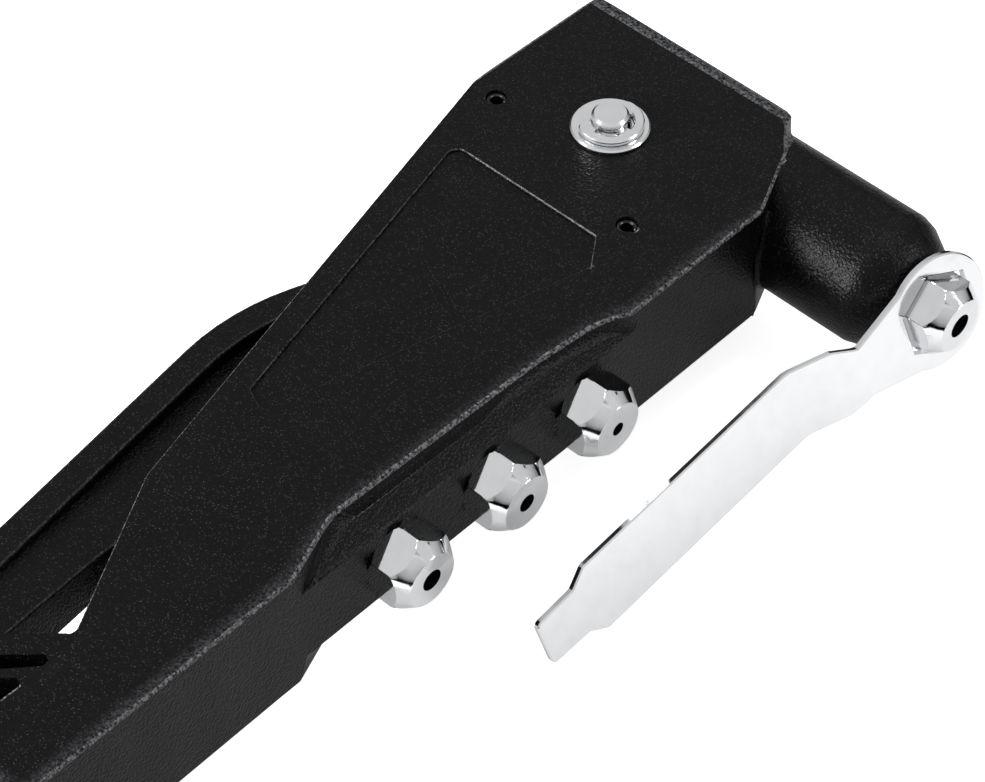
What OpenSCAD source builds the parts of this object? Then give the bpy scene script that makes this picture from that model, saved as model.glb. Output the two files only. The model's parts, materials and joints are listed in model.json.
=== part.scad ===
// Hand riveter with a cast body, a pivoting lever and three spare nosepieces.
// It lies on its side. The origin is the mouth of the fitted nosepiece, on the nose axis:
// +X points out of the nose, +Y towards the top of the head, +Z up through the thickness.

/* [Body] */
// Thickness of the cast body
body_t = 19; // [17:0.5:24]
// Distance from the pivot out to the mouth of the fitted nosepiece
nose_reach = 50.5; // [49:0.5:56]
// Height of the nose axis above the pivot
nose_rise = 11.3; // [11:0.1:12]
// Distance from the pivot to the top of the head
head_top = 19.8; // [19.6:0.1:22]
// Distance from the pivot to the back of the head
head_back = 20.2; // [19.5:0.1:23]
// Distance from the pivot to the front face, level with the pivot
front_x = 24.7; // [24:0.1:28]
// Lean of the front face, in degrees
front_lean = 1.1; // [0:0.1:2]
// Chamfer along the top of the head
head_chamfer = 1.3; // [0.5:0.1:2]
// Radius of the nose barrel
barrel_r = 9.5; // [8.8:0.1:9.5]
// Thickness of the two side walls
side_wall = 3.9; // [3:0.1:4.3]

/* [Scoop beside the spare nosepieces] */
// Depth of the scoop at its front edge
scoop_edge = 3.8; // [2.6:0.1:3.9]
// Depth of the scoop at the foot of its wall
scoop_foot_t = 2.2; // [1.4:0.1:2.4]
// Width of the scoop
scoop_w = 2.4; // [1.8:0.1:3]
// Depth of the panel recess in the top face
panel_depth = 0.35; // [0.2:0.05:0.8]

/* [Nosepieces] */
// Width across the flats of the nosepiece hexagon
hex_af = 9.5; // [9:0.1:9.8]
// Length of the nosepiece outside its seat
hex_len = 6; // [5.5:0.1:7]
// Radius of the flat face round the nosepiece mouth
face_r = 3.8; // [3.6:0.1:4]
// Diameter of the nosepiece shank
shank_d = 7; // [6.5:0.1:7.2]
// Length of the nosepiece shank
shank_len = 6.8; // [6:0.1:7]
// Bore of the fitted nosepiece, for 4.8 mm rivets
bore_4_8 = 3.4; // [3.2:0.1:3.6]
// Bore of the spare nosepiece for 4.0 mm rivets
bore_4_0 = 3; // [2.7:0.1:3.1]
// Bore of the spare nosepiece for 3.2 mm rivets
bore_3_2 = 2.5; // [2.2:0.1:2.7]
// Bore of the spare nosepiece for 2.4 mm rivets
bore_2_4 = 1.9; // [1.7:0.1:2]
// Distance from the pivot down to the first spare nosepiece
spare_drop = 32.2; // [31:0.1:34]
// Spacing of the spare nosepieces
spare_pitch = 16.6; // [15:0.1:17]

/* [Pivot] */
// Diameter of the pivot pin
pin_d = 5; // [4:0.1:5.5]
// Diameter of the pin's sunk head
pin_head_d = 8.6; // [7.5:0.1:9]
// Diameter of the washer
washer_d = 10.6; // [9.8:0.1:12]
// Thickness of the washer
washer_t = 0.6; // [0.4:0.1:1]
// Diameter of the retaining clip
clip_d = 9; // [8:0.1:9.4]
// Thickness of the retaining clip
clip_t = 0.8; // [0.6:0.1:0.9]
// Diameter of the two spring pins
spring_pin_d = 2.8; // [2.4:0.1:3]

/* [Lever] */
// Lever opening angle
lever_open = 32; // [20:1:32]
// Thickness of the lever where it runs in the body
lever_t = 9.2; // [8:0.1:10]
// Thickness of the lever's web
web_t = 4.9; // [3:0.1:6]
// Width of the flange along the back of the lever
flange_w = 4.2; // [3:0.1:5]

/* [Handles] */
// Distance from the pivot down to the ends of the handles
handle_end = 232; // [210:1:250]
// Distance from the pivot down to the tops of the grips
grip_top = 124; // [120:1:132]
// Thickness of the fixed handle inside its grip
core_t = 13.6; // [11:0.1:15]
// Wall of the soft grips
grip_wall = 2.4; // [1.8:0.1:2.6]

/* [Wrench] */
// Radius of the wrench's ring
ring_r = 8.1; // [7.7:0.1:9]
// Thickness of the wrench plate
plate_t = 1; // [0.8:0.1:1.2]
// Width of the wrench's strip
strip_w = 11; // [10:0.1:13]
// Length of the wrench from the nose axis to its tip
wrench_len = 68.5; // [60:0.5:76]

/* [Hidden] */
$fn = 64;

black_paint = [0.13, 0.13, 0.135];
zinc = [0.78, 0.79, 0.8];
rubber = [0.08, 0.08, 0.085];
steel = [0.55, 0.56, 0.58];

run_gap = 0.05;          // radial clearance of a running fit
wrench_gap = 0.6;        // between the corners of the wrench's hole and the hexagon
half_t = body_t / 2;
cut = 0.01;              // overrun of a cut past a face

// Radial sizes along the nose axis
bore_r = 6.3;            // guide bore of the jaw case
case_r = bore_r - run_gap;
neck_r = 2.5;            // neck that the lever's fork straddles
mandrel_r = 1.65;        // clear way for a rivet's mandrel
bush_r = 4.75;           // threaded bush behind the nosepiece seat
plug_r = 5.2;            // plug that closes the back of the guide bore

// Channel that the lever swings in
channel_t = body_t - 2 * side_wall;
front_wall = 6.6;

// Pins through the body
pin_head_t = 2.4;
front_pin_at = [13.9, -11.9];
rear_pin_at = [-14.9, -6];

// Distances along X from the pivot
seat_x = nose_reach - hex_len;
bore_end_x = seat_x - shank_len - 1;

// The lever's short arm: a round fork end that swings evenly to both sides of the pivot
swing = lever_open / 2;
fork_r = 3;
fork_x = -nose_rise * tan(swing);
stroke = 2 * nose_rise * tan(swing);
fork_gap = 0.12;

// Points on the front face: how far it leans out, d below the pivot
function front_at(d) = front_x + d * tan(front_lean);
function spare_at(i) = spare_drop + i * spare_pitch;

// Corner p of a polygon, rounded to radius r between its neighbours a and b
function unit(v) = v / norm(v);
function corner(a, p, b, r, n = 6) =
    let (
        u = unit(a - p),
        v = unit(b - p),
        half = acos(u * v) / 2,
        c = p + unit(u + v) * r / sin(half),
        s = p + u * r / tan(half) - c,
        e = p + v * r / tan(half) - c,
        sweep = 180 - 2 * half,
        turn = sign(s.x * e.y - s.y * e.x)
    )
    [for (i = [0:n]) let (t = turn * sweep * i / n)
        c + [s.x * cos(t) - s.y * sin(t), s.x * sin(t) + s.y * cos(t)]];

// Outline through corners [x, y, radius]
function rounded(q) =
    let (n = len(q), xy = [for (k = q) [k.x, k.y]])
    [for (i = [0:n - 1]) each q[i][2] > 0
        ? corner(xy[(i + n - 1) % n], xy[i], xy[(i + 1) % n], q[i][2])
        : [xy[i]]];

module at_pivot() {
    translate([-nose_reach, -nose_rise, 0])
        children();
}

module slab(t, z = 0) {
    translate([0, 0, z - t / 2])
        linear_extrude(t)
            children();
}

// A cylinder along X from x0 to x1, on the nose axis, in the pivot's frame
module along_x(x0, x1, r) {
    translate([x0, nose_rise, 0])
        rotate([0, 90, 0])
            cylinder(h = x1 - x0, r = r);
}

module cone_x(x0, x1, r0, r1) {
    translate([x0, nose_rise, 0])
        rotate([0, 90, 0])
            cylinder(h = x1 - x0, r1 = r0, r2 = r1);
}

// ---- body ----

// The back edge slants from the head down to the neck of the fixed handle
back_slant = 0.277;
neck_y = -104.4;
handle_core = [24.9, 9.9];     // front and back faces of the handle inside its grip
tip_y = -handle_end;
handle_mid = (grip_top + handle_end) / 2;

module body_outline() {
    polygon(rounded([
        [-head_back, head_top, 3.5],
        [front_x - 8.4, head_top, 8],
        [front_at(-2), 2, 3],
        [front_at(85), -85, 0],
        [27.6, -grip_top, 0],
        [handle_core[0], -grip_top, 0],
        [handle_core[0], -handle_mid, 200],
        [21.5, tip_y, 5],
        [12.5, tip_y, 4],
        [handle_core[1], -handle_mid, 200],
        [handle_core[1], -grip_top, 0],
        [7.6, -grip_top, 0],
        [7.4, -111, 2.5],
        [14.2, neck_y, 1.3],
        [2, -82.8, 4],
        [-head_back, -82.8 + (head_back + 2) / back_slant, 6]
    ]));
}

module channel_outline() {
    back = head_back + 20;
    polygon([
        [3.2 - head_back, 3],
        [3.2 - head_back, head_top - 4.4],
        [front_x - 12, head_top - 4.4],
        [front_x - front_wall, 4],
        [front_at(76) - front_wall, -76],
        [6, -85.6],
        [-back, -85.6],
        [-back, 3]
    ]);
}

module panel_outline() {
    polygon(rounded([
        [-12.4, -16.4, 1.5],
        [12.5, -16.2, 0.5],
        [15.8, -20.7, 0.5],
        [4.2, -66.2, 1],
        [0.6, -64.8, 0.8]
    ]));
}

// The scoop's wall leans: its rim lies in the side face, its foot further forward
module scoop_rim() {
    x = front_x - scoop_w;
    top = -spare_at(0) + 8.6;
    low = -spare_at(2) - 17;
    polygon(rounded([
        [x + 12, top + 3, 0], [front_x + 1.8, top + 3, 0], [x + 0.7, top - 4.4, 12], [x, top - 14, 30],
        [x - 0.1, low + 10.6, 5], [front_x + 2.5, low - 2, 0], [x + 12, low - 2, 0]
    ]));
}

module scoop_foot() {
    x = front_x - scoop_w;
    top = -spare_at(0) + 8.6;
    low = -spare_at(2) - 17;
    polygon(rounded([
        [x + 12, top + 5, 0], [front_x + 1.5, top + 5, 0], [front_x + 0.2, top - 0.6, 10],
        [x + 1.8, top - 9, 40], [x + 1.4, low + 15, 5], [front_x + 1.9, low + 1, 0], [x + 12, low + 1, 0]
    ]));
}

module scoop() {
    intersection() {
        hull() {
            slab(cut, half_t + 0.3)
                scoop_rim();
            slab(cut, half_t - 4.5)
                scoop_foot();
        }
        rotate([90, 0, 0])
            translate([0, 0, -10])
                linear_extrude(140)
                    polygon([
                        [front_x - 10, half_t - scoop_foot_t],
                        [front_x - scoop_w + 0.8, half_t - scoop_foot_t],
                        [front_x + 0.8, half_t - scoop_edge],
                        [front_x + 12, half_t - scoop_edge - 1],
                        [front_x + 12, half_t + 5],
                        [front_x - 10, half_t + 5]
                    ]);
    }
}

// Cored pockets in the flared shoulder above the grip, with a slanting rib between them
module pocket_outline() {
    polygon(rounded([[14.9, -107.9, 0.6], [9.6, -113.2, 0.6], [11.2, -114.6, 0.6], [15.2, -110, 0.6]]));
    polygon(rounded([[15.3, -112.2, 0.6], [9.6, -117.9, 0.6], [9.6, -121.5, 0.8], [15.3, -121.5, 0.8]]));
}

module nose_barrel() {
    shoulder_x = seat_x - 6.5;
    along_x(0, shoulder_x, barrel_r);
    cone_x(shoulder_x, shoulder_x + 1.8, barrel_r, barrel_r - 0.5);
    cone_x(shoulder_x + 1.8, shoulder_x + 4.4, barrel_r - 0.5, barrel_r - 2.1);
    cone_x(shoulder_x + 4.4, seat_x - cut, barrel_r - 2.1, bush_r + 0.3);
}

module body_casting() {
    color(black_paint)
    at_pivot()
        difference() {
            union() {
                difference() {
                    slab(body_t)
                        body_outline();
                    for (s = [-1, 1])
                        translate([0, head_top, s * half_t])
                            rotate([45, 0, 0])
                                cube([80, head_chamfer * sqrt(2), head_chamfer * sqrt(2)], center = true);
                    for (s = [-1, 1])
                        translate([-head_back, 0, s * half_t])
                            rotate([0, 45, 0])
                                cube([1.4, 80, 1.4], center = true);
                }
                nose_barrel();
            }
            slab(channel_t)
                channel_outline();
            // thinner handle where the grip slides on
            for (s = [-1, 1])
                translate([0, -grip_top - 200, s * (core_t / 2 + 10)])
                    cube([200, 400, 20], center = true);
            scoop();
            mirror([0, 0, 1])
                scoop();
            slab(2 * panel_depth, half_t)
                panel_outline();
            for (s = [-1, 1])
                slab(9, s * half_t)
                    pocket_outline();
            // nose axis: guide bore, seat of the threaded bush, rear plug
            along_x(-head_back + 3.2, bore_end_x, bore_r);
            along_x(bore_end_x - 1, seat_x + 1, bush_r + run_gap);
            along_x(-head_back - 1, -head_back + 5, plug_r + run_gap);
            // pivot pin and its sunk head
            translate([0, 0, -half_t - 1])
                cylinder(h = body_t + 2, r = pin_d / 2 + run_gap);
            translate([0, 0, -half_t - 1])
                cylinder(h = pin_head_t + 1.1, r = pin_head_d / 2 + 0.1);
            for (p = [front_pin_at, rear_pin_at])
                translate([p.x, p.y, -half_t - 1])
                    cylinder(h = body_t + 2, r = spring_pin_d / 2 + run_gap);
            // tapped holes of the spare nosepieces
            for (i = [0:2])
                at_spare(i)
                    rotate([0, -90, 0])
                        translate([0, 0, -1])
                            cylinder(h = front_wall + 3, r = shank_d / 2 + run_gap);
            latch_hole();
        }
}

// ---- pivot ----

pin_top = half_t + 2.7;
clip_z = half_t + washer_t + 0.1;
groove_r = pin_d / 2 - 0.5;

module pivot_pin() {
    color(zinc)
    at_pivot() {
        translate([0, 0, -half_t + 0.05])
            cylinder(h = pin_head_t, r = pin_head_d / 2);
        difference() {
            translate([0, 0, -half_t + 1])
                cylinder(h = pin_top + half_t - 1, r = pin_d / 2);
            translate([0, 0, clip_z - 0.05])
                difference() {
                    cylinder(h = clip_t + 0.1, r = pin_d);
                    translate([0, 0, -1])
                        cylinder(h = clip_t + 3, r = groove_r);
                }
        }
    }
}

module pivot_washer() {
    color(zinc)
    at_pivot()
        translate([0, 0, half_t + cut])
            difference() {
                cylinder(h = washer_t, r = washer_d / 2);
                translate([0, 0, -1])
                    cylinder(h = washer_t + 2, r = pin_d / 2 + 0.15);
            }
}

// E-shaped clip: round-ended arms and a back lug on the pin's groove, open on one side
module pivot_clip() {
    clip_r = clip_d / 2;
    lug_r = groove_r + 0.02;
    arm_r = (clip_r - lug_r) / 2;
    color(steel)
    at_pivot()
        rotate([0, 0, 171])
            translate([0, 0, clip_z])
                linear_extrude(clip_t)
                    difference() {
                        union() {
                            difference() {
                                circle(r = clip_r);
                                polygon([[0, 0], [3, 15], [12, 15], [12, -15], [3, -15]]);
                            }
                            for (a = [-79, 79])
                                rotate(a)
                                    translate([lug_r + arm_r, 0])
                                        circle(r = arm_r);
                        }
                        circle(r = lug_r);
                        intersection() {
                            circle(r = clip_r - 1.35);
                            for (a = [-132, 132])
                                rotate(a)
                                    polygon([[0, 0], [6, 3.4], [6, -3.4]]);
                        }
                    }
}

module spring_pin(p) {
    color(steel)
    at_pivot()
        translate([p.x, p.y, -half_t + 0.4])
            difference() {
                cylinder(h = body_t - 0.8, r = spring_pin_d / 2);
                translate([0, 0, -1])
                    cylinder(h = body_t + 2, r = spring_pin_d / 2 - 0.55);
                translate([0, -0.25, -1])
                    cube([5, 0.5, body_t + 2]);
            }
}

module front_spring_pin() {
    spring_pin(front_pin_at);
}

module rear_spring_pin() {
    spring_pin(rear_pin_at);
}

// ---- nosepieces ----

// One nosepiece with its mouth at the origin, pointing along +X
module nosepiece(bore) {
    corner_r = hex_af / sqrt(3);
    rotate([0, 90, 0])
        difference() {
            union() {
                intersection() {
                    translate([0, 0, -hex_len])
                        cylinder(h = hex_len, r = corner_r, $fn = 6);
                    translate([0, 0, -hex_len])
                        union() {
                            cylinder(h = 0.8, r1 = hex_af / 2 + 0.1, r2 = corner_r + 0.1);
                            translate([0, 0, 0.8 - cut])
                                cylinder(h = hex_len - 3.2 + cut, r = corner_r + 0.1);
                            translate([0, 0, hex_len - 2.4 - cut])
                                cylinder(h = 2.4 + cut, r1 = corner_r + 0.1, r2 = face_r);
                        }
                }
                translate([0, 0, -hex_len - shank_len])
                    cylinder(h = shank_len + 1, r = shank_d / 2);
            }
            translate([0, 0, -hex_len - shank_len - 1])
                cylinder(h = hex_len + shank_len + 2, r = bore / 2);
        }
}

module nosepiece_4_8() {
    color(zinc)
        rotate([hex_turn, 0, 0])
            nosepiece(bore_4_8);
}

// A frame on the front face at the i-th spare nosepiece, with X square to that face
module at_spare(i) {
    translate([front_at(spare_at(i)), -spare_at(i), 0])
        rotate(front_lean)
            children();
}

module spare_nosepiece(i, bore) {
    color(zinc)
    at_pivot()
        at_spare(i)
            translate([hex_len + cut, 0, 0])
                nosepiece(bore);
}

module spare_nosepiece_2_4() {
    spare_nosepiece(0, bore_2_4);
}

module spare_nosepiece_3_2() {
    spare_nosepiece(1, bore_3_2);
}

module spare_nosepiece_4_0() {
    spare_nosepiece(2, bore_4_0);
}

module nose_bush() {
    color(steel)
    at_pivot()
        difference() {
            along_x(bore_end_x, seat_x - 0.05, bush_r);
            along_x(bore_end_x - 1, seat_x + 1, shank_d / 2 + run_gap);
        }
}

module rear_plug() {
    color(steel)
    at_pivot()
        difference() {
            union() {
                along_x(-head_back - 0.9, -head_back + 3.2, plug_r);
                along_x(-head_back - 0.9, -head_back - 0.05, plug_r + 0.8);
            }
            along_x(-head_back - 2, -head_back + 6, mandrel_r + 0.6);
        }
}

// ---- wrench ----

hex_turn = 9.3;          // how far the fitted nosepiece stopped past a corner-up position
wrench_lean = 17.2;      // the loose ring leans back towards the end of the barrel
wrench_yaw = 5.3;

// Outline in the plane of the plate: u runs from the nose axis to the tip, w across
module wrench_strip() {
    neck = 4.1;
    h = strip_w / 2;
    tip = 3.5;
    end = wrench_len;
    polygon(rounded([
        [0, ring_r - 0.2, 0], [13, neck, 1], [16.3, h, 1], [end - 9.1, h, 0.8], [end - 6.5, tip + 0.2, 0.8],
        [end, tip, 0.9], [end, -tip, 0.9], [end - 6.5, -tip - 0.2, 0.8], [end - 9.1, -h, 0.8],
        [16.3, -h, 1], [13, -neck, 1], [0, 0.2 - ring_r, 0]
    ]));
}

// Side profile of the bent plate: a step back behind the ring, then straight out to the tip
module wrench_profile() {
    path = [[-12, 0, 0], [13.5, 0, 3], [22, -3.4, 4], [80, 1.7, 0]];
    polygon(rounded(concat(
        path,
        [for (i = [3:-1:0]) [path[i].x, path[i].y - plate_t, path[i][2]]]
    )));
}

module nosepiece_wrench() {
    color(zinc)
        translate([2.65 - hex_len, -0.1, 0.2])
            rotate([hex_turn, 0, 0])
                rotate([0, -wrench_lean, 0])
                    rotate([0, 0, -wrench_yaw])
                        intersection() {
                            // u along -Y, w along Z
                            rotate([90, 0, -90])
                                translate([0, 0, -20])
                                    difference() {
                                        union() {
                                            cylinder(h = 40, r = ring_r);
                                            linear_extrude(40)
                                                wrench_strip();
                                        }
                                        translate([0, 0, -1])
                                            rotate(30)
                                                cylinder(h = 42, r = hex_af / sqrt(3) + wrench_gap, $fn = 6);
                                    }
                            translate([0, 0, -20])
                                linear_extrude(40)
                                    rotate(-90)
                                        wrench_profile();
                        }
}

// ---- lever ----

hub_r = 4.7;
waist = 1.45;            // half the width of the short arm below its fork
lever_tip = [-11.5, 2];  // back and front faces of the lever's end

module lever_outline() {
    polygon(rounded([
        [-4.5, 1.2, 0], [4.5, 1.2, 0], [11.9, -8.5, 2], [11.9, -16, 6], [9.5, -50, 60],
        [2.8, -88, 40], [5.2, -112, 20], [3.6, -grip_top, 0], [3.2, -grip_top - 2, 0],
        [1.2, 8 - handle_mid, 120], [lever_tip[1], tip_y, 4], [lever_tip[0], tip_y, 4],
        [-10.2, 8 - handle_mid, 120], [-6.8, -grip_top - 2, 0], [-7, -grip_top, 0],
        [-6.2, -108, 30], [-15.2, -54.3, 34], [-7.6, -33, 25], [-7.6, -13, 30]
    ]));
}

// Flange along the back of the lever, a stretch of the same edge
module lever_flange_outline() {
    w = flange_w;
    polygon(rounded([
        [-7.6, -13, 0], [-7.6 + w, -13, 0], [-7.6 + w, -33, 25], [-15.2 + w, -54.3, 34],
        [-6.2 + w, -108, 30], [-7 + w, -grip_top, 0], [-7, -grip_top, 0],
        [-6.2, -108, 30], [-15.2, -54.3, 34], [-7.6, -33, 25]
    ]));
}

module lever_arm() {
    rotate(swing) {
        translate([-waist, 0])
            square([2 * waist, nose_rise / cos(swing)]);
        translate([0, nose_rise / cos(swing)])
            circle(r = fork_r);
    }
    circle(r = hub_r);
}

// Web that is thin beside the channel and thickens towards the grip
module lever_web() {
    half = lever_t / 2;
    intersection() {
        slab(lever_t)
            lever_outline();
        rotate([90, 0, 90])
            translate([0, 0, -60])
                linear_extrude(120)
                    polygon([
                        [2, half], [-18, half], [-21, web_t / 2], [-62, web_t / 2],
                        [6 - grip_top, half - 0.4], [6 - grip_top, half], [tip_y - 5, half],
                        [tip_y - 5, -half], [6 - grip_top, -half], [6 - grip_top, 0.4 - half],
                        [-62, -web_t / 2], [-21, -web_t / 2], [-18, -half], [2, -half]
                    ]);
    }
}

module lever() {
    color(black_paint)
    at_pivot()
        difference() {
            union() {
                slab(lever_t)
                    lever_arm();
                slab(lever_t)
                    lever_flange_outline();
                lever_web();
            }
            translate([0, 0, -lever_t])
                cylinder(h = 2 * lever_t, r = pin_d / 2 + run_gap);
            // slot of the fork, round the neck of the jaw stem
            slab(2 * neck_r + 0.4)
                intersection() {
                    difference() {
                        circle(r = 30);
                        circle(r = nose_rise - neck_r - 0.4);
                    }
                    translate([-15, 4])
                        square([30, 20]);
                }
        }
}

// ---- grips ----

module fixed_grip() {
    color(rubber)
    at_pivot()
        difference() {
            slab(2 * (core_t / 2 + grip_wall))
                polygon(rounded([
                    [handle_core[0] + 2.6, -grip_top - 0.3, 1], [27.2, -handle_mid, 200],
                    [24.6, 10 - handle_end, 3], [9.4, 10 - handle_end, 3],
                    [7.4, -handle_mid, 200], [handle_core[1] - 2.4, -grip_top - 0.3, 1]
                ]));
            slab(core_t + 0.02)
                body_outline();
            grip_grooves(handle_core[0] + 2.6, handle_core[1] - 2.4, core_t / 2 + grip_wall);
        }
}

// Shallow finger grooves across both faces of a grip
module grip_grooves(x0, x1, face) {
    for (s = [-1, 1], i = [0:6])
        translate([0, -grip_top - 16 - 12 * i, s * (face + 1.2)])
            rotate([0, 90, 0])
                cylinder(h = 200, r = 2, center = true);
}

module lever_grip() {
    face = lever_t / 2 + grip_wall - 0.2;
    color(rubber)
    at_pivot()
        difference() {
            slab(2 * face)
                polygon(rounded([
                    [5.4, -grip_top - 0.3, 1], [3.4, 8 - handle_mid, 120], [4.2, 10 - handle_end, 3],
                    [-13.8, 10 - handle_end, 3], [-12.6, 8 - handle_mid, 120], [-9.2, -grip_top - 0.3, 1]
                ]));
            slab(lever_t + 0.02)
                lever_outline();
            grip_grooves(5.4, -9.2, face);
        }
}

// ---- jaws ----

stem_x = fork_x + fork_r + fork_gap;       // front of the fork's space, at rest
flange_x = fork_x - fork_r - fork_gap;     // back of the fork's space, at rest
case_x = stem_x + 8;
case_end = bore_end_x - stroke - 0.8;
cone_x0 = case_end - 10.2;
jaw_room = cone_x0 - case_x;               // room for the stem's end, the spring and the pusher
spigot_len = 0.44 * jaw_room;
seat_depth = 0.18 * jaw_room;              // bottom of the spring's seat in the stem
pusher_t = 0.3 * jaw_room;
throat_r = 4.9;
tip_r = 2.4;
function cone_r(x) = throat_r + (tip_r - throat_r) * (x - cone_x0) / (case_end - cone_x0);

module jaw_case() {
    color(steel)
    at_pivot()
        difference() {
            along_x(case_x, case_end, case_r);
            along_x(case_x - 1, cone_x0, throat_r);
            cone_x(cone_x0 - cut, case_end + cut, throat_r, tip_r);
        }
}

module jaw_stem() {
    color(steel)
    at_pivot()
        difference() {
            union() {
                along_x(flange_x - 3, flange_x, throat_r);
                along_x(flange_x - 1, stem_x + 1, neck_r);
                along_x(stem_x, case_x + spigot_len, throat_r - run_gap);
            }
            along_x(flange_x - 5, case_x + spigot_len + 1, mandrel_r);
            along_x(case_x + seat_depth, case_x + spigot_len + 1, throat_r - 1.2);
        }
}

module jaw_half(side) {
    back_x = cone_x0 + 1.4;
    front_x = case_end + 0.5;
    gap = 0.04;
    color(steel)
    at_pivot()
        intersection() {
            difference() {
                cone_x(back_x, front_x, cone_r(back_x) - gap, cone_r(front_x) - gap);
                along_x(back_x - 1, front_x + 1, 0.8);
                cone_x(back_x - 0.01, back_x + 2.4, 3.6, 0.8);
            }
            translate([0, 0, side > 0 ? 0.1 : -20.1])
                cube([60, 40, 20]);
        }
}

module jaw_upper() {
    jaw_half(1);
}

module jaw_lower() {
    jaw_half(-1);
}

module jaw_pusher() {
    color(steel)
    at_pivot()
        difference() {
            union() {
                along_x(cone_x0 - pusher_t, cone_x0 - 0.2 + cut, throat_r - 0.2);
                cone_x(cone_x0 - 0.2, cone_x0 + 1.4, 4.2, 3.3);
                cone_x(cone_x0 + 1.39, cone_x0 + 2.5, 3.3, 2.1);
                along_x(cone_x0 - 1.22 * pusher_t, cone_x0 - 0.9 * pusher_t, 2.6);
            }
            along_x(case_x - 2, cone_x0 + 4, mandrel_r);
        }
}

// Compression spring between the stem and the pusher
module jaw_spring() {
    wire_r = 0.4;
    coil_r = 3.2;
    x0 = case_x + seat_depth + wire_r + 0.03;
    x1 = cone_x0 - pusher_t - wire_r - 0.03;
    turns = floor((x1 - x0) / (2.05 * wire_r));
    steps = 18;
    sides = 8;
    n = turns * steps;
    ring = [for (i = [0:n]) let (
        a = 360 * i / steps,
        x = x0 + (x1 - x0) * i / n
    ) [for (k = [0:sides - 1]) let (b = 360 * k / sides, r = coil_r + wire_r * cos(b))
        [x + wire_r * sin(b), nose_rise + r * cos(a), r * sin(a)]]];
    color(steel)
    at_pivot()
        polyhedron(
            points = [for (r = ring) each r],
            faces = concat(
                [[for (k = [0:sides - 1]) k]],
                [for (i = [0:n - 1], k = [0:sides - 1]) let (j = (k + 1) % sides)
                    [i * sides + k, (i + 1) * sides + k, (i + 1) * sides + j, i * sides + j]],
                [[for (k = [sides - 1:-1:0]) n * sides + k]]
            )
        );
}

// ---- handle latch ----

latch_at = [17, 5 - handle_end];
wire_r = 1;
leg_z = core_t / 2 + 0.3 + wire_r;
latch_reach = 32;

module latch_hole() {
    translate([latch_at.x, latch_at.y, -half_t])
        cylinder(h = body_t, r = wire_r + run_gap);
}

// Wire bail that swings over the end of the lever to hold the handles shut
module handle_latch() {
    color(zinc)
    at_pivot()
        translate([latch_at.x, latch_at.y, 0]) {
            for (s = [-1, 1]) {
                translate([0, 0, s > 0 ? 3 : -leg_z])
                    cylinder(h = leg_z - 3, r = wire_r);
                translate([0, 0, s * leg_z])
                    rotate([90, 0, 0])
                        cylinder(h = latch_reach, r = wire_r);
                for (y = [0, -latch_reach])
                    translate([0, y, s * leg_z])
                        sphere(r = wire_r);
            }
            translate([0, -latch_reach, -leg_z])
                cylinder(h = 2 * leg_z, r = wire_r);
        }
}

body_casting();
lever();
fixed_grip();
lever_grip();
pivot_pin();
pivot_washer();
pivot_clip();
front_spring_pin();
rear_spring_pin();
nose_bush();
rear_plug();
nosepiece_4_8();
spare_nosepiece_2_4();
spare_nosepiece_3_2();
spare_nosepiece_4_0();
nosepiece_wrench();
jaw_case();
jaw_stem();
jaw_upper();
jaw_lower();
jaw_pusher();
jaw_spring();
handle_latch();
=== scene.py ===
import json
import math

import bmesh
import bpy
import numpy as np
from mathutils import Matrix, Vector

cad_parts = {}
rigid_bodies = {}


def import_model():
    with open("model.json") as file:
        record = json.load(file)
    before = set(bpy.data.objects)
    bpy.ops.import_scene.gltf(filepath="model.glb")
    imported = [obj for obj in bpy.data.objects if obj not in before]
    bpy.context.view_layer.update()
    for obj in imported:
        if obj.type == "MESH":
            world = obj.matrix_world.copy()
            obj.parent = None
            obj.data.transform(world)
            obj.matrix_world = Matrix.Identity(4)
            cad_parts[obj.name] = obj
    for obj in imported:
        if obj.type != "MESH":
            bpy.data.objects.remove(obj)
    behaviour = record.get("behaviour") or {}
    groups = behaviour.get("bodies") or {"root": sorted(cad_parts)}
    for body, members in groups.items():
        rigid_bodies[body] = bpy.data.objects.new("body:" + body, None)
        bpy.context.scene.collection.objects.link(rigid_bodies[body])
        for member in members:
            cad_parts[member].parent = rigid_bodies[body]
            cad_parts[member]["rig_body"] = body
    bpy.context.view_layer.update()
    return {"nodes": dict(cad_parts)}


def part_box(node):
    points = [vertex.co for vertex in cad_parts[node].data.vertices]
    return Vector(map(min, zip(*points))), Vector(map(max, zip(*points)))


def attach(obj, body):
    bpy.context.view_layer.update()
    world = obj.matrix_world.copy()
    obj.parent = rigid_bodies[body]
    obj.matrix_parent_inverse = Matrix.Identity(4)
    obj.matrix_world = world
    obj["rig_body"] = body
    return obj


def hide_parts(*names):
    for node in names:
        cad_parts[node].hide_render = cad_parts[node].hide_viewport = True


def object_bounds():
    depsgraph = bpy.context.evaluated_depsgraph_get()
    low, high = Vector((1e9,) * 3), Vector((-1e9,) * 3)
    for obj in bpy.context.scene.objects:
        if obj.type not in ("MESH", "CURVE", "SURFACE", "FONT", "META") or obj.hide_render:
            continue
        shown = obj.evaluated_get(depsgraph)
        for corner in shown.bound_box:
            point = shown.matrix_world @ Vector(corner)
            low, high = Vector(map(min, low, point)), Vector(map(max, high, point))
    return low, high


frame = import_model()
nodes = frame["nodes"]
scene = bpy.context.scene
scene.view_settings.view_transform = "Standard"


# ---- Camera ----
# A long lens looks down on the head from the front right.
# The handles run out of the view at the lower left.

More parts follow.
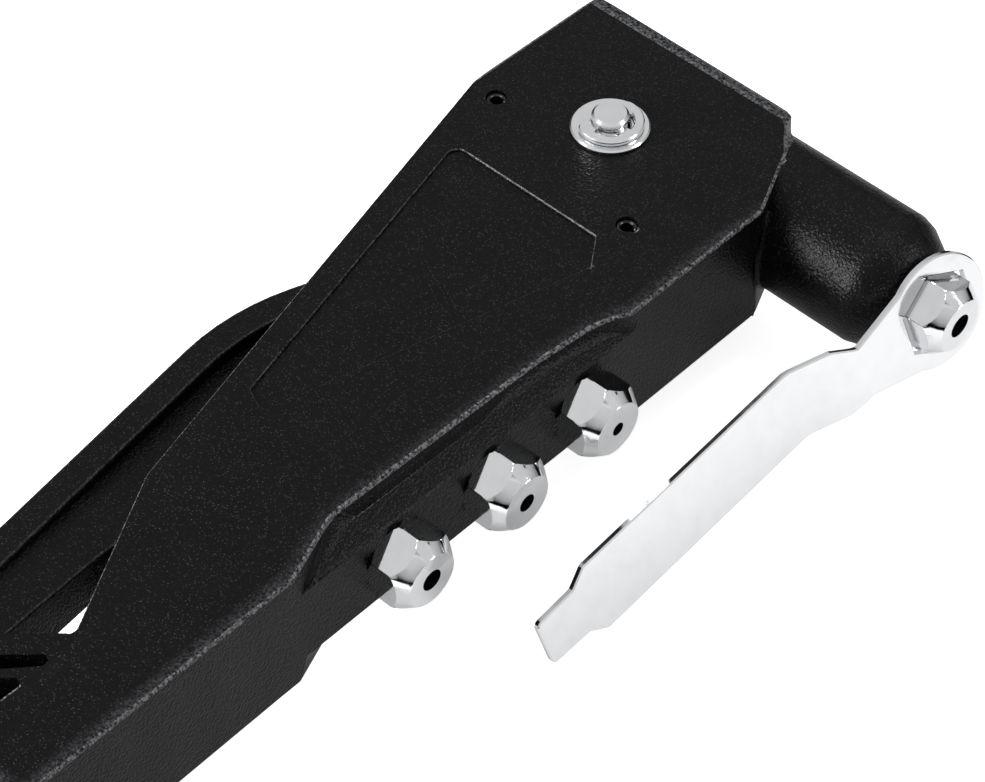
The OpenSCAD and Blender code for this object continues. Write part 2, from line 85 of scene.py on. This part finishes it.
azimuth, elevation, roll = (math.radians(angle) for angle in (44.321, 46.731, 0.184))
camera = bpy.data.objects.new("camera", bpy.data.cameras.new("camera"))
camera.data.lens = 117.96
camera.data.sensor_width = 36
camera.data.clip_start = 0.02
back = Vector((
    math.sin(azimuth) * math.cos(elevation),
    -math.cos(azimuth) * math.cos(elevation),
    math.sin(elevation),
))
right = Vector((math.cos(azimuth), math.sin(azimuth), 0))
upright = Matrix((right, back.cross(right), back)).transposed()
turn = upright @ Matrix.Rotation(-roll, 3, "Z")
camera.matrix_world = Matrix.Translation((0.15832, -0.24733, 0.29369)) @ turn.to_4x4()
scene.collection.objects.link(camera)
scene.camera = camera


# ---- Body: die-cast aluminium, black fine-texture powder coat ----
# One casting: the head with its nose barrel, the walls round the lever's channel, and the core
# of the fixed handle. It is shot-blasted and powder-coated, so every edge is rounded and the
# surface is a fine orange peel.

def linear(hex_colour):
    """sRGB hex to linear RGBA.

    A channel c is divided by 12.92 near black, and is otherwise ((c + 0.055) / 1.055) to the
    power 2.4.
    """
    c = np.array([int(hex_colour[i:i + 2], 16) / 255 for i in (1, 3, 5)])
    c = np.where(c <= 0.04045, c / 12.92, ((c + 0.055) / 1.055) ** 2.4)
    return (*c.tolist(), 1.0)


def add_node(tree, kind, inputs=None, **settings):
    """Adds a node with its settings. An input is a value, or another node's output socket."""
    node = tree.nodes.new(kind)
    for key, value in settings.items():
        setattr(node, key, value)
    for key, value in (inputs or {}).items():
        if isinstance(value, bpy.types.NodeSocket):
            tree.links.new(value, node.inputs[key])
        else:
            node.inputs[key].default_value = value
    return node


def new_material(name):
    """An empty node material: the material, its tree and its Principled shader."""
    material = bpy.data.materials.new(name)
    material.use_nodes = True
    tree = material.node_tree
    return material, tree, tree.nodes["Principled BSDF"]


def stands_for(piece, name):
    """Makes a finished piece ride on a CAD node's body, in its place."""
    scene.collection.objects.link(piece)
    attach(piece, nodes[name]["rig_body"])
    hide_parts(name)


def merged(name):
    """The CAD node's triangles joined at their shared corners, as an open bmesh."""
    same_corner = 2e-6  # metres
    shape = bmesh.new()
    shape.from_mesh(nodes[name].data)
    bmesh.ops.remove_doubles(shape, verts=shape.verts, dist=same_corner)
    return shape


def dressed_copy(name, passes, smooth_below=28, wear_and_highlight_faces=None, moved=None):
    """A finished piece: the CAD node's merged faces with chosen edges rounded.

    Each pass is a radius in mm, a number of facets, how pale the new faces are painted from 0 to
    1, and a chooser. That paleness is part thin coat at the edges and part a painted highlight for
    the light the edges catch. A chooser gets the edges' middles in mm, the normals of their two
    faces and their folds in degrees, and says which to round. A pass may also name the bevel's way
    of measuring. Folds under smooth_below degrees are shaded smooth. wear_and_highlight_faces
    gives that paleness to each CAD face from its middle and its normal, and moved gives a shift in
    mm to each CAD corner from its place.
    """
    flat_fold, faint_fold = math.radians(0.4), math.radians(22)
    shape = merged(name)
    bmesh.ops.dissolve_limit(
        shape, angle_limit=flat_fold, verts=shape.verts, edges=shape.edges)
    if moved is not None:
        for corner in shape.verts:
            corner.co += moved(corner.co * 1000) / 1000
        shape.normal_update()
    wear_and_highlight_layer = shape.faces.layers.float.new("edge")
    if wear_and_highlight_faces is not None:
        for face in shape.faces:
            face[wear_and_highlight_layer] = wear_and_highlight_faces(face.calc_center_median() * 1000, face.normal)
    for radius, segments, wear_and_highlight, chooser, *measure in passes:
        edges = [
            e for e in shape.edges
            if e.is_manifold and abs(e.calc_face_angle_signed(0)) > faint_fold]
        middle = np.array([(e.verts[0].co + e.verts[1].co) * 500 for e in edges])
        first = np.array([e.link_faces[0].normal for e in edges])
        second = np.array([e.link_faces[1].normal for e in edges])
        fold = np.degrees([e.calc_face_angle_signed(0) for e in edges])
        wanted = chooser(middle, first, second, fold)
        made = bmesh.ops.bevel(
            shape, geom=[e for e, chosen in zip(edges, wanted) if chosen],
            offset=radius / 1000, offset_type=measure[0] if measure else "OFFSET",
            segments=segments, profile=0.5, affect="EDGES",
            clamp_overlap=False, loop_slide=False,
        )
        for face in made["faces"]:
            face[wear_and_highlight_layer] = wear_and_highlight
    mesh = bpy.data.meshes.new(name + "_dressed")
    shape.to_mesh(mesh)
    shape.free()
    mesh.polygons.foreach_set("use_smooth", np.ones(len(mesh.polygons), bool))
    mesh.set_sharp_from_angle(angle=math.radians(smooth_below))
    piece = bpy.data.objects.new(name + "_dressed", mesh)
    stands_for(piece, name)

    # Large faces keep their own normal, and the small ones beside them bend to meet it.
    large_area = 4e-5  # square metres
    even = piece.modifiers.new("even shading", "WEIGHTED_NORMAL")
    even.keep_sharp, even.weight = True, 80
    seen = piece.evaluated_get(bpy.context.evaluated_depsgraph_get()).data
    normals = np.empty(len(mesh.loops) * 3, np.float32)
    area = np.empty(len(mesh.polygons), np.float32)
    own = np.empty(len(mesh.polygons) * 3, np.float32)
    corners = np.empty(len(mesh.polygons), np.int32)
    seen.corner_normals.foreach_get("vector", normals)
    mesh.polygons.foreach_get("area", area)
    mesh.polygons.foreach_get("normal", own)
    mesh.polygons.foreach_get("loop_total", corners)
    normals = normals.reshape(-1, 3)
    face = np.repeat(np.arange(len(corners)), corners)
    large = area[face] > large_area
    normals[large] = own.reshape(-1, 3)[face[large]]
    piece.modifiers.remove(even)
    mesh.normals_split_custom_set(normals)
    return piece


def every_edge(middle, first, second, fold):
    """Every outward edge that is folded by more than 35 degrees."""
    return fold > 35


# Powder coat gives the eye a dull black with a soft sheen, and a grain of about 0.35 mm that
# sparkles where light rakes it. Here and there a grain is painted as a paler fleck, a painted
# glint for a grain catching the light. Along the edges the coat is painted paler, part for thin
# coat and part as a painted highlight. Each pattern's scale is the number of its grains in a
# metre: mottle 6 mm, painted glints 0.28 mm, rubbing and sheen breakup 0.38 mm, peel 0.32 mm and
# pebbles 0.4 mm wide.
mottle_scale, glint_scale, rub_and_sheen_scale, peel_scale, pebble_scale = 160, 3600, 2600, 3100, 2500
powder_coat, tree, shader = new_material("black_fine_texture_powder_coat")
shader.inputs["Roughness"].default_value = 0.33
shader.inputs["IOR"].default_value = 1.5
shader.inputs["Specular IOR Level"].default_value = 0.1
place = add_node(tree, "ShaderNodeTexCoord")
mottle = add_node(tree, "ShaderNodeTexNoise", {
    "Vector": place.outputs["Object"], "Scale": mottle_scale, "Detail": 3.0})
ground = add_node(tree, "ShaderNodeMix", {
    0: mottle.outputs["Fac"], 6: linear("#020203"), 7: linear("#070708")}, data_type="RGBA")
# Painted glints: a few grains are painted paler, standing in for light caught by them.
cells = add_node(tree, "ShaderNodeTexVoronoi", {
    "Vector": place.outputs["Object"], "Scale": glint_scale}, feature="F1")
centre = add_node(tree, "ShaderNodeMapRange", {
    "Value": cells.outputs["Distance"], "From Min": 0.38, "From Max": 0.12,
}, interpolation_type="SMOOTHSTEP")
chance = add_node(tree, "ShaderNodeSeparateColor", {0: cells.outputs["Color"]})
few = add_node(tree, "ShaderNodeMapRange", {
    "Value": chance.outputs[0], "From Min": 0.35, "From Max": 1.0, "To Max": 0.25,
}, interpolation_type="SMOOTHERSTEP")
painted_glint = add_node(tree, "ShaderNodeMath", {
    0: centre.outputs[0], 1: few.outputs[0]}, operation="MULTIPLY")
with_painted_glints = add_node(tree, "ShaderNodeMix", {
    0: painted_glint.outputs[0], 6: ground.outputs[2], 7: linear("#6A6B6E")}, data_type="RGBA")

# The edges' paleness, part thin coat and part painted highlight, broken up by the rubbing.
edge = add_node(tree, "ShaderNodeAttribute", attribute_name="edge")
rub_and_sheen = add_node(tree, "ShaderNodeTexNoise", {
    "Vector": place.outputs["Object"], "Scale": rub_and_sheen_scale, "Detail": 2.0, "Roughness": 0.7})
rub_and_sheen = add_node(tree, "ShaderNodeMapRange", {
    "Value": rub_and_sheen.outputs["Fac"], "From Min": 0.38, "From Max": 0.72})
pale = add_node(tree, "ShaderNodeMapRange", {"Value": edge.outputs["Fac"]})
pale = add_node(tree, "ShaderNodeMath", {
    0: pale.outputs[0], 1: rub_and_sheen.outputs[0]}, operation="MULTIPLY")

# A painted sheen on the front of the body, ahead of the sunk panel: more grains are painted pale
# on its side faces within 2.4 mm of an outward edge, standing in for the light caught where the
# faces roll over to the rim. Two slanting lines bound that front: across each, X plus a share of
# Y rises from start to full, in metres.
inward = add_node(tree, "ShaderNodeAmbientOcclusion", {
    "Distance": 0.0024}, samples=6, inside=True, only_local=True)
painted_sheen = add_node(tree, "ShaderNodeMapRange", {
    "Value": inward.outputs["AO"], "From Min": 0.98, "From Max": 0.5, "To Max": 0.3})
spot = add_node(tree, "ShaderNodeSeparateXYZ", {0: place.outputs["Object"]})
for share, start, full in ((-0.255, -0.0255, -0.0225), (0.17, -0.0556, -0.0526)):
    slant = add_node(tree, "ShaderNodeMath", {
        0: spot.outputs["Y"], 1: share, 2: spot.outputs["X"]}, operation="MULTIPLY_ADD")
    ahead = add_node(tree, "ShaderNodeMapRange", {
        "Value": slant.outputs[0], "From Min": start, "From Max": full})
    painted_sheen = add_node(tree, "ShaderNodeMath", {
        0: painted_sheen.outputs[0], 1: ahead.outputs[0]}, operation="MULTIPLY")
facing = add_node(tree, "ShaderNodeSeparateXYZ", {0: place.outputs["Normal"]})
facing = add_node(tree, "ShaderNodeMath", {0: facing.outputs["Z"]}, operation="ABSOLUTE")
facing = add_node(tree, "ShaderNodeMapRange", {
    "Value": facing.outputs[0], "From Min": 0.75, "From Max": 0.95})
for limit in (facing, rub_and_sheen):
    painted_sheen = add_node(tree, "ShaderNodeMath", {
        0: painted_sheen.outputs[0], 1: limit.outputs[0]}, operation="MULTIPLY")
pale = add_node(tree, "ShaderNodeMath", {
    0: painted_sheen.outputs[0], 1: pale.outputs[0]}, operation="MAXIMUM")
edged = add_node(tree, "ShaderNodeMix", {
    0: pale.outputs[0], 6: with_painted_glints.outputs[2], 7: linear("#77787B")}, data_type="RGBA")
tree.links.new(edged.outputs[2], shader.inputs["Base Color"])

# The orange peel: rounded pebbles under a finer noise, 0.08 mm high.
peel = add_node(tree, "ShaderNodeTexNoise", {
    "Vector": place.outputs["Object"], "Scale": peel_scale, "Detail": 2.0, "Roughness": 0.6})
pebble = add_node(tree, "ShaderNodeTexVoronoi", {
    "Vector": place.outputs["Object"], "Scale": pebble_scale, "Smoothness": 0.35,
}, feature="SMOOTH_F1")
height = add_node(tree, "ShaderNodeMath", {
    0: pebble.outputs["Distance"], 1: -0.8, 2: peel.outputs["Fac"]}, operation="MULTIPLY_ADD")
grain = add_node(tree, "ShaderNodeBump", {
    "Height": height.outputs[0], "Strength": 1.0, "Distance": 0.00008})
tree.links.new(grain.outputs["Normal"], shader.inputs["Normal"])

# The choosers below measure in mm from the middle of the pivot pin.
pivot = np.array([-50.5, -11.3, 0.0])


def side_rim(middle, first, second, fold):
    """Outward edges between a side face and a wall, and each edge's place from the pivot."""
    level, side_z = 0.97, 9.45
    x, y, z = (middle - pivot).T
    flat = (np.abs(first[:, 2]) > level) ^ (np.abs(second[:, 2]) > level)
    return flat & (fold > 0) & (np.abs(z) > side_z), x, y


def from_back(x, y):
    """Distance in front of the casting's back edge, upright at first and slanting below."""
    back_x, slant_from, slope, slant_depth = -20.2, -2.66, 0.277, 22.2
    return x - back_x - np.clip((slant_from - y) * slope, 0, slant_depth)


def head_top(middle, first, second, fold):
    """The two edges of the chamfer along the top of the head and its front corner."""
    head_y, chamfer_z, back_x = 13.5, 7.4, -19
    x, y, z = (middle - pivot).T
    return (fold > 0) & (y > head_y) & (np.abs(z) > chamfer_z) & (x > back_x)


def wider_chamfer(place):
    """Moves the upper edges of the head's chamfer in, across the top and round the corner.

    The shift is towards the corner's centre, or straight down behind it, and grows with height.
    """
    side_z, head_y, corner_x, corner_y, shift, growth = 9.45, 12.5, 13, 11.5, 1.4, 3
    x, y, z = np.array(place) - pivot
    if abs(z) < side_z or y < head_y:
        return Vector((0, 0, 0))
    out = Vector((max(x - corner_x, 0), y - corner_y, 0)).normalized()
    return out * -shift * float(min((y - head_y) / growth, 1))


def head_chamfer(middle, normal):
    """Painted highlight on the CAD faces of the chamfer round the head's top; the rest gets none.
    """
    head_y, chamfer_z, front_x, wear_and_highlight = 12, 7, 21, 0.75
    x, y, z = np.array(middle) - pivot
    on_head = y > head_y and abs(z) > chamfer_z and x < front_x
    slanting = 0.25 < abs(normal.z) < 0.97
    return wear_and_highlight if on_head and slanting else 0.0


def front_rim(middle, first, second, fold):
    """The rim between the side faces and the front, from the barrel down to the handle."""
    front_x, barrel_y, handle_y = 15.2, 8, -123
    rim, x, y = side_rim(middle, first, second, fold)
    return rim & (x > front_x) & (y < barrel_y) & (y > handle_y)


def back_rim(middle, first, second, fold):
    """The back edge down to the neck, and on the neck every rim that is not the front's."""
    top_y, neck_y, handle_y, front_x, reach = 17, -82, -106, 15.2, 1.2
    rim, x, y = side_rim(middle, first, second, fold)
    at_back = (from_back(x, y) < reach) | (y < neck_y)
    return rim & (y < top_y) & (y > handle_y) & at_back & (x < front_x)


def panel_rim(middle, first, second, fold):
    """The low step round the panel in the upper side face."""
    top_y, foot_y, front_x, inset = -15.5, -68, 16.2, 2.5
    rim, x, y = side_rim(middle, first, second, fold)
    return rim & (y < top_y) & (y > foot_y) & (from_back(x, y) > inset) & (x < front_x)


def scoop_foot(middle, first, second, fold):
    """The outward edge of the low foot inside each scoop beside the spare nosepieces."""
    level, least_fold, scoop_x, top_y, foot_y, inner_z, side_z = 0.9, 22, 17, -18, -78, 3, 9.3
    x, y, z = (middle - pivot).T
    flat = (np.abs(first[:, 2]) > level) ^ (np.abs(second[:, 2]) > level)
    inside = (np.abs(z) > inner_z) & (np.abs(z) < side_z)
    inside &= (x > scoop_x) & (y < top_y) & (y > foot_y)
    return flat & inside & (fold > least_fold)


def barrel_root(middle, first, second, fold):
    """The inner corner where the barrel grows out of the front."""
    front_x, nose_y, barrel_r = 24.5, 11.3, 9.5
    x, y, z = (middle - pivot).T
    at_front = np.abs(x - front_x) < 1.2
    on_barrel = np.abs(np.hypot(y - nose_y, z) - barrel_r) < 0.3
    return (fold < 0) & at_front & on_barrel


# Each pass's third number paints the rounded edges paler: part thin coat, part painted highlight.
body = dressed_copy("body_casting", [
    (0.8, 3, 0.0, barrel_root),
    (0.35, 2, 0.75, head_top, "ABSOLUTE"),
    (0.4, 2, 0.9, front_rim),
    (0.15, 1, 0.45, back_rim),
    (0.14, 1, 0.4, panel_rim),
    (0.2, 1, 0.75, scoop_foot, "ABSOLUTE"),
], wear_and_highlight_faces=head_chamfer, moved=wider_chamfer)
body.data.materials.append(powder_coat)


# ---- Lever: cast aluminium, same coat ----
# It is forked round the jaw stem, turns on the pivot pin, and has a thin web with a flange
# along its back.

lever = dressed_copy("lever", [(0.35, 2, 0.15, every_edge)])
lever.data.materials.append(powder_coat)


# ---- Nosepieces: turned hexagon bar, bright nickel plate ----
# One sits in the nose under the wrench, three are screwed into the front of the body. Each has
# a coned end, a turned face round its bore, and a shank below the hexagon.

def nickel_plate(name, roughness, rings_at=None):
    """Bright nickel over steel: a near-mirror with a haze 2.4 mm wide and waves of 1.1 mm.

    rings_at is a point on the lathe's axis, along X. Turning marks 0.11 mm wide ring it.
    """
    haze_scale, wave_scale, ring_scale = 420, 900, 9000
    material, tree, shader = new_material(name)
    shader.inputs["Metallic"].default_value = 1.0
    place = add_node(tree, "ShaderNodeTexCoord")
    haze = add_node(tree, "ShaderNodeTexNoise", {
        "Vector": place.outputs["Object"], "Scale": haze_scale, "Detail": 4.0,
        "Roughness": 0.6})
    colour = add_node(tree, "ShaderNodeMix", {
        0: haze.outputs["Fac"], 6: linear("#D8D9DB"), 7: linear("#E8E9EA")}, data_type="RGBA")
    tree.links.new(colour.outputs[2], shader.inputs["Base Color"])
    dull = add_node(tree, "ShaderNodeMapRange", {
        "Value": haze.outputs["Fac"], "From Min": 0.3, "From Max": 0.7,
        "To Min": roughness * 0.6, "To Max": roughness * 1.5})
    tree.links.new(dull.outputs[0], shader.inputs["Roughness"])
    wave = add_node(tree, "ShaderNodeTexNoise", {
        "Vector": place.outputs["Object"], "Scale": wave_scale, "Detail": 2.0})
    height = wave.outputs["Fac"]
    if rings_at is not None:
        centred = add_node(tree, "ShaderNodeMapping", {
            "Vector": place.outputs["Object"], "Location": [-c for c in rings_at]})
        flat = add_node(tree, "ShaderNodeVectorMath", {
            0: centred.outputs[0], 1: (0, 1, 1)}, operation="MULTIPLY")
        radius = add_node(tree, "ShaderNodeVectorMath", {0: flat.outputs[0]}, operation="LENGTH")
        rings = add_node(tree, "ShaderNodeTexNoise", {
            "W": radius.outputs["Value"], "Scale": ring_scale, "Detail": 1.0,
        }, noise_dimensions="1D")
        rings = add_node(tree, "ShaderNodeMath", {
            0: rings.outputs["Fac"], 1: 0.5, 2: height}, operation="MULTIPLY_ADD")
        height = rings.outputs[0]
    bump = add_node(tree, "ShaderNodeBump", {
        "Height": height, "Strength": 0.5, "Distance": 0.000012})
    tree.links.new(bump.outputs["Normal"], shader.inputs["Normal"])
    return material


def ahead_of_seat(mouth_x):
    """Every outward edge of a nosepiece except those on its seat, 5.6 mm behind its mouth."""
    seat_x = mouth_x - 5.6
    return lambda middle, *sides: every_edge(middle, *sides) & (middle[:, 0] > seat_x)


for name in ("nosepiece_4_8", "spare_nosepiece_2_4", "spare_nosepiece_3_2", "spare_nosepiece_4_0"):
    low, high = (np.array(end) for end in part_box(name))
    piece = dressed_copy(name, [
        (0.1, 1, 0, ahead_of_seat(high[0] * 1000), "ABSOLUTE")], smooth_below=18)
    piece.data.materials.append(nickel_plate(name + "_nickel", 0.07, rings_at=(low + high) / 2))


# ---- Wrench: pressed strip, bright nickel plate ----
# A ring with a hexagonal hole and a stepped strip, blanked from 1 mm steel. Two bends set the
# strip back behind the ring.

wrench = dressed_copy("nosepiece_wrench", [(0.18, 1, 0, every_edge)], smooth_below=18)
wrench.data.materials.append(nickel_plate("pressed_nickel_strip", 0.12))


# ---- Pivot: pin, washer and clip, bright zinc over steel ----
# The pin's sunk head is on the far side. On this side a washer lies on the casting and an open
# clip grips the groove. Zinc gives the eye the same near-mirror as nickel, only duller.

plate = nickel_plate("bright_zinc_plate", 0.16)
for name, width in (("pivot_pin", 0.35), ("pivot_washer", 0.2), ("pivot_clip", 0.15)):
    piece = dressed_copy(name, [(width, 1, 0, every_edge)], smooth_below=18)
    piece.data.materials.append(plate)


# ---- Spring pins: rolled spring steel, oiled black ----
# Each is a slotted tube driven flush through the body, so its end shows as a dark ring. Black
# oxide gives the eye a dark metal with stains of about 1 mm.

black_oxide, tree, shader = new_material("black_oxide_spring_steel")
shader.inputs["Metallic"].default_value = 1.0
shader.inputs["Roughness"].default_value = 0.34
place = add_node(tree, "ShaderNodeTexCoord")
stain = add_node(tree, "ShaderNodeTexNoise", {
    "Vector": place.outputs["Object"], "Scale": 900, "Detail": 4.0})
tint = add_node(tree, "ShaderNodeMix", {
    0: stain.outputs["Fac"], 6: linear("#1B1B1D"), 7: linear("#4A4B4F")}, data_type="RGBA")
tree.links.new(tint.outputs[2], shader.inputs["Base Color"])
bump = add_node(tree, "ShaderNodeBump", {
    "Height": stain.outputs["Fac"], "Strength": 0.5, "Distance": 0.00002})
tree.links.new(bump.outputs["Normal"], shader.inputs["Normal"])
for name in ("front_spring_pin", "rear_spring_pin"):
    piece = dressed_copy(name, [(0.15, 1, 0, every_edge)], smooth_below=18)
    piece.data.materials.append(black_oxide)


# ---- Jaw group, bush and rear plug: turned and hardened steel ----
# The parts inside the nose are turned, hardened and ground, and lightly oiled. Turned steel
# gives the eye a grey metal with fine marks across its axis, 0.14 mm wide.

ground_steel, tree, shader = new_material("turned_hardened_steel")
shader.inputs["Metallic"].default_value = 1.0
place = add_node(tree, "ShaderNodeTexCoord")
turned = add_node(tree, "ShaderNodeSeparateXYZ", {0: place.outputs["Object"]})
marks = add_node(tree, "ShaderNodeTexNoise", {
    "W": turned.outputs["X"], "Scale": 7000, "Detail": 2.0}, noise_dimensions="1D")
tint = add_node(tree, "ShaderNodeMix", {
    0: marks.outputs["Fac"], 6: linear("#85878A"), 7: linear("#A9ABAE")}, data_type="RGBA")
tree.links.new(tint.outputs[2], shader.inputs["Base Color"])
dull = add_node(tree, "ShaderNodeMapRange", {
    "Value": marks.outputs["Fac"], "To Min": 0.22, "To Max": 0.42})
tree.links.new(dull.outputs[0], shader.inputs["Roughness"])
bump = add_node(tree, "ShaderNodeBump", {
    "Height": marks.outputs["Fac"], "Strength": 0.6, "Distance": 0.00002})
tree.links.new(bump.outputs["Normal"], shader.inputs["Normal"])
for name in (
    "nose_bush", "rear_plug", "jaw_case", "jaw_stem", "jaw_upper", "jaw_lower", "jaw_pusher",
):
    piece = dressed_copy(name, [(0.1, 1, 0, every_edge)], smooth_below=18)
    piece.data.materials.append(ground_steel)
spring = nodes["jaw_spring"]
spring.data.materials.clear()
spring.data.materials.append(ground_steel)


# ---- Grips: soft moulded PVC sleeves ----
# Two moulded sleeves are pushed onto the handles. They have shallow grooves across for the
# fingers. Soft PVC gives the eye an even, dull black with pores of about 0.3 mm.

soft_grip, tree, shader = new_material("moulded_soft_pvc")
shader.inputs["Base Color"].default_value = linear("#0E0E0F")
shader.inputs["IOR"].default_value = 1.5
shader.inputs["Specular IOR Level"].default_value = 0.25
place = add_node(tree, "ShaderNodeTexCoord")
pores = add_node(tree, "ShaderNodeTexNoise", {
    "Vector": place.outputs["Object"], "Scale": 3500, "Detail": 2.0})
dull = add_node(tree, "ShaderNodeMapRange", {
    "Value": pores.outputs["Fac"], "To Min": 0.5, "To Max": 0.75})
tree.links.new(dull.outputs[0], shader.inputs["Roughness"])
bump = add_node(tree, "ShaderNodeBump", {
    "Height": pores.outputs["Fac"], "Strength": 0.6, "Distance": 0.00005})
tree.links.new(bump.outputs["Normal"], shader.inputs["Normal"])
for name in ("fixed_grip", "lever_grip"):
    dressed_copy(name, [(0.5, 2, 0, every_edge)]).data.materials.append(soft_grip)


# ---- Handle latch: bent wire bail, bright zinc ----
# A wire bail is hooked into the end of the fixed handle and swings over the end of the lever.

latch = nodes["handle_latch"]
latch.data.materials.clear()
latch.data.materials.append(plate)


# ---- Floor and light ----
# The tool lies on white paper under a pale tent. The paper ends a hand's width away and the
# room beyond is dark, which is what draws the dark lines in the plated parts.

def soft_box(name, centre, size, towards, energy):
    """A square soft lamp of that size at centre, turned to face a point."""
    light = bpy.data.lights.new(name, "AREA")
    light.shape, light.size, light.energy = "SQUARE", size, energy
    lamp = bpy.data.objects.new(name, light)
    lamp.location = centre
    lamp.rotation_euler = (Vector(towards) - Vector(centre)).to_track_quat("-Z", "Y").to_euler()
    scene.collection.objects.link(lamp)


half, clearance = 6.0, 0.0001
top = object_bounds()[0][2] - clearance
mesh = bpy.data.meshes.new("floor")
mesh.from_pydata(
    [(-half, -half, top), (half, -half, top), (half, half, top), (-half, half, top)],
    [], [(0, 1, 2, 3)])
floor = bpy.data.objects.new("floor", mesh)
scene.collection.objects.link(floor)

# Matt paper gives the eye an even white. Seen in metal it is white up to 65 mm outside a
# rectangle round the tool, and dark from 95 mm on.
to_middle, half_sides = (0.03, 0.13, 0), (0.03, 0.13, 1)
paper, tree, shader = new_material("white_paper_floor")
shader.inputs["Roughness"].default_value = 1.0
shader.inputs["Specular IOR Level"].default_value = 0.0
place = add_node(tree, "ShaderNodeTexCoord")
away = add_node(tree, "ShaderNodeVectorMath", {
    0: place.outputs["Object"], 1: to_middle}, operation="ADD")
away = add_node(tree, "ShaderNodeVectorMath", {0: away.outputs[0]}, operation="ABSOLUTE")
away = add_node(tree, "ShaderNodeVectorMath", {
    0: away.outputs[0], 1: half_sides}, operation="SUBTRACT")
away = add_node(tree, "ShaderNodeVectorMath", {
    0: away.outputs[0], 1: (0, 0, 0)}, operation="MAXIMUM")
away = add_node(tree, "ShaderNodeVectorMath", {0: away.outputs[0]}, operation="LENGTH")
beyond = add_node(tree, "ShaderNodeMapRange", {
    "Value": away.outputs["Value"], "From Min": 0.065, "From Max": 0.095})
path = add_node(tree, "ShaderNodeLightPath")
dark = add_node(tree, "ShaderNodeMath", {
    0: beyond.outputs[0], 1: path.outputs["Is Glossy Ray"]}, operation="MULTIPLY")
dark = add_node(tree, "ShaderNodeMath", {0: 1.0, 1: dark.outputs[0]}, operation="SUBTRACT")
shade = add_node(tree, "ShaderNodeCombineColor", {
    0: dark.outputs[0], 1: dark.outputs[0], 2: dark.outputs[0]})
white = add_node(tree, "ShaderNodeVectorMath", {
    0: shade.outputs[0], 1: (0.72, 0.72, 0.72)}, operation="MULTIPLY")
tree.links.new(white.outputs[0], shader.inputs["Base Color"])
seen = add_node(tree, "ShaderNodeMath", {
    0: path.outputs["Is Camera Ray"], 1: path.outputs["Is Glossy Ray"]}, operation="MAXIMUM")
seen = add_node(tree, "ShaderNodeMath", {
    0: seen.outputs[0], 1: path.outputs["Is Transmission Ray"]}, operation="MAXIMUM")
lift = add_node(tree, "ShaderNodeMath", {
    0: path.outputs["Is Camera Ray"], 1: 0.65, 2: 0.15}, operation="MULTIPLY_ADD")
for limit in (seen, dark):
    lift = add_node(tree, "ShaderNodeMath", {
        0: lift.outputs[0], 1: limit.outputs[0]}, operation="MULTIPLY")
tree.links.new(lift.outputs[0], shader.inputs["Emission Strength"])
shader.inputs["Emission Color"].default_value = (1, 1, 1, 1)
floor.data.materials.append(paper)

world = bpy.data.worlds.new("tent")
scene.world = world
world.use_nodes = True
tree = world.node_tree
sky = tree.nodes["Background"]
place = add_node(tree, "ShaderNodeTexCoord")
upward = add_node(tree, "ShaderNodeSeparateXYZ", {0: place.outputs["Generated"]})
tent = add_node(tree, "ShaderNodeValToRGB", {"Fac": upward.outputs["Z"]})
tent.color_ramp.elements[0].position = 0.02
tent.color_ramp.elements[0].color = (0.02, 0.02, 0.02, 1)
tent.color_ramp.elements[1].position = 1.0
tent.color_ramp.elements[1].color = (0.85, 0.85, 0.85, 1)
for position, level in ((0.08, 0.25), (0.2, 0.45), (0.5, 0.66)):
    stop = tent.color_ramp.elements.new(position)
    stop.color = (level, level, level, 1)
path = add_node(tree, "ShaderNodeLightPath")
white = add_node(tree, "ShaderNodeMix", {
    0: path.outputs["Is Camera Ray"], 6: tent.outputs["Color"], 7: (1, 1, 1, 1),
}, data_type="RGBA")
tree.links.new(white.outputs[2], sky.inputs["Color"])
sky.inputs["Strength"].default_value = 1.0

soft_box("left_box", (-0.26, -0.46, 0.11), 0.24, towards=(-0.02, -0.03, 0), energy=8.5)
soft_box("right_box", (0.44, 0.27, 0.27), 0.20, towards=(-0.03, -0.03, 0), energy=1.6)
soft_box("top_box", (0.0, 0.12, 0.62), 0.16, towards=(-0.03, -0.05, 0), energy=0.8)
